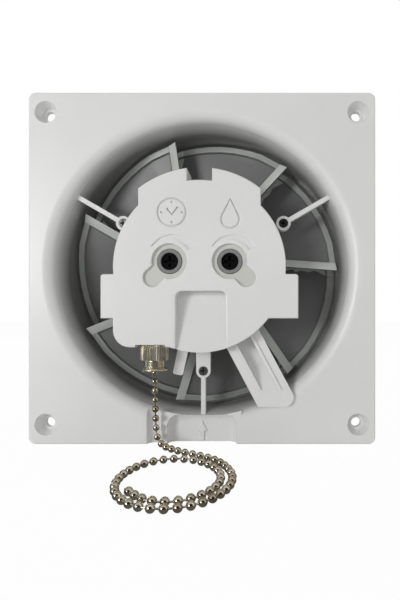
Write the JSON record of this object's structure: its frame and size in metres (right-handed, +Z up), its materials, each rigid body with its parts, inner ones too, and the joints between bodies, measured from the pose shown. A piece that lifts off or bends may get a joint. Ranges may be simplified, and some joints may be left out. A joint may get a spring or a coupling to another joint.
{
  "type": "exhaust fan",
  "caption": "Wall exhaust fan without its cover: square plate with bell mouth and round duct, bladed impeller, control box with trimmers, and a ball chain pull switch.",
  "frame": {"origin": "on the fan axis in the wall plane, at the centre of the wall screw pattern", "axes": "+X to the right seen from the front, +Y into the wall along the fan axis, +Z up"},
  "size_m": [0.15, 0.1397, 0.152],
  "materials": {
    "white_plastic": "satin moulded",
    "box_plastic": "satin moulded",
    "blade_plastic": "glossy moulded",
    "trimmer_grey": "moulded",
    "black_plastic": "moulded",
    "nickel_brass": "nickel plated, aged",
    "screw_steel": "dark zinc",
    "sheet_steel": "zinc plated",
    "core_steel": "laminated",
    "copper_wire": "enamelled",
    "bearing_bronze": "sintered",
    "board_green": "lacquered"
  },
  "bodies": {
    "root": {"housing": "white_plastic", "motor_screws": "screw_steel", "motor_bracket_front": "sheet_steel", "motor_bracket_rear": "sheet_steel", "stator_core": "core_steel", "pole_bobbins": "black_plastic", "pole_coils": "copper_wire", "bearing_front": "bearing_bronze", "bearing_rear": "bearing_bronze", "core_bolts": "screw_steel", "control_box_lid": "box_plastic", "control_box_base": "box_plastic", "base_screws": "screw_steel", "circuit_board": "board_green", "relay": "black_plastic", "capacitor": "black_plastic", "humidity_sensor": "trimmer_grey", "timer_trimmer": "trimmer_grey", "humidity_trimmer": "trimmer_grey", "terminal_block": "trimmer_grey", "terminal_screws": "screw_steel", "switch_body": "black_plastic", "switch_spring": "sheet_steel", "switch_bush": "nickel_brass", "bush_nut": "nickel_brass", "cable_channel": "box_plastic", "chain_coil": "nickel_brass"},
    "fan": {"impeller": "blade_plastic", "impeller_clip": "sheet_steel", "rotor": "core_steel", "motor_shaft": "sheet_steel"},
    "timer_knob": {"timer_dial": "black_plastic"},
    "humidity_knob": {"humidity_dial": "black_plastic"},
    "pull": {"switch_plunger": "nickel_brass", "chain_drop": "nickel_brass"}
  },
  "joints": [
    {"name": "impeller_spin", "type": "hinge", "parent": "root", "child": "fan", "pos_m": [0, 0, 0], "axis": [0, 1, 0], "continuous": true},
    {"name": "timer_turn", "type": "hinge", "parent": "root", "child": "timer_knob", "pos_m": [-0.0125, -0.0125, 0.0021], "axis": [0, 1, 0], "range_deg": [-135, 135]},
    {"name": "humidity_turn", "type": "hinge", "parent": "root", "child": "humidity_knob", "pos_m": [0.0125, -0.0125, 0.0021], "axis": [0, 1, 0], "range_deg": [-135, 135]},
    {"name": "chain_pull", "type": "slide", "parent": "root", "child": "pull", "axis": [0, 0, -1], "range_m": [0, 0.007], "stiffness_N_per_m": 400, "springref_m": -0.003, "deforming": ["chain_drop", "switch_spring"]}
  ]
}
